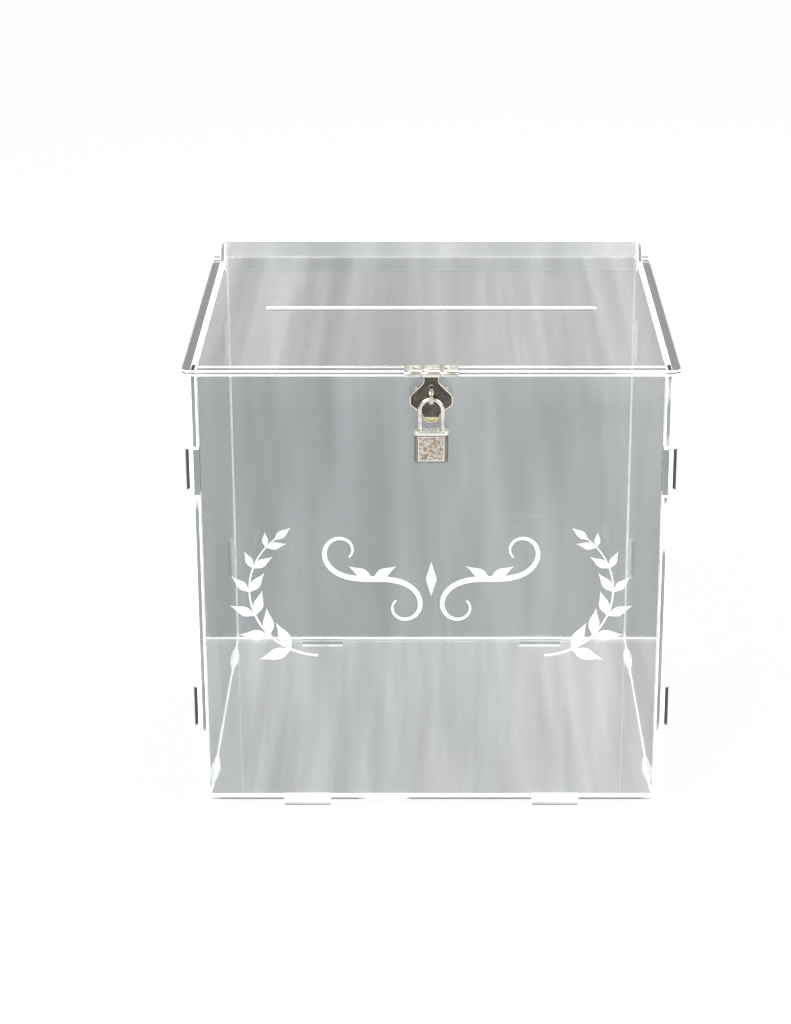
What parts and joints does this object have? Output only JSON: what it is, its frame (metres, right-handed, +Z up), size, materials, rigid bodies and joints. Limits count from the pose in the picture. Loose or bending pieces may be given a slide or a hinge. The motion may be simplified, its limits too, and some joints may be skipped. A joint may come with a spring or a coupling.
{
  "type": "wedding card box",
  "caption": "Clear acrylic card box of tabbed panels with a slotted pegged lid, a hasp and staple, a small padlock and white laurel film on the front.",
  "frame": {"origin": "middle of the object's footprint, on the surface that its feet stand on", "axes": "+Z up, +X to the right seen from the front, the front with the padlock faces -Y"},
  "size_m": [0.2632, 0.2424, 0.2696],
  "materials": {
    "clear_acrylic": "polished clear",
    "white_film": "satin",
    "hasp_plating": "polished",
    "bright_steel": "polished",
    "padlock_plating": "polished",
    "core_brass": "satin"
  },
  "bodies": {
    "box": {"front_panel": "clear_acrylic", "back_panel": "clear_acrylic", "left_panel": "clear_acrylic", "right_panel": "clear_acrylic", "floor_panel": "clear_acrylic", "laurel_left": "white_film", "laurel_right": "white_film", "centre_scroll": "white_film", "staple_plate": "hasp_plating", "staple_eye": "hasp_plating", "staple_screws": "hasp_plating", "staple_nuts": "bright_steel"},
    "lid": {"lid_panel": "clear_acrylic", "hasp_lid_leaf": "hasp_plating", "hasp_pin": "hasp_plating", "hasp_screws": "hasp_plating", "hasp_nuts": "bright_steel"},
    "hasp_leaf": {"hasp_swing_leaf": "hasp_plating"},
    "padlock": {"padlock_case": "padlock_plating"},
    "shackle": {"padlock_shackle": "bright_steel"},
    "core": {"padlock_core": "core_brass"},
    "latch": {"padlock_latch": "bright_steel"}
  },
  "joints": [
    {"name": "lid_hinge", "type": "hinge", "parent": "box", "child": "lid", "pos_m": [0, 0.11035, 0.2591], "axis": [-1, 0, 0], "range_deg": [0, 97]},
    {"name": "padlock_off", "type": "slide", "parent": "box", "child": "padlock", "axis": [0, -0.8, 0.6], "range_m": [0, 0.12]},
    {"name": "hasp_swing", "type": "hinge", "parent": "lid", "child": "hasp_leaf", "pos_m": [0, -0.11535, 0.2594], "axis": [-1, 0, 0], "range_deg": [0, 111]},
    {"name": "shackle_lift", "type": "slide", "parent": "padlock", "child": "shackle", "axis": [0, 0, 1], "range_m": [0, 0.004]},
    {"name": "key_turn", "type": "hinge", "parent": "padlock", "child": "core", "pos_m": [0, -0.11565, 0.211], "axis": [0, 0, 1], "range_deg": [0, 90]},
    {"name": "latch_draw", "type": "slide", "parent": "padlock", "child": "latch", "axis": [1, 0, 0], "range_m": [0, 0.00241]}
  ],
  "couplings": [
    {"joint": "hasp_swing", "follows": "padlock_off", "rad_per_m": 15.999},
    {"joint": "key_turn", "follows": "shackle_lift", "rad_per_m": 392.69},
    {"joint": "latch_draw", "follows": "shackle_lift", "ratio": 0.6}
  ]
}
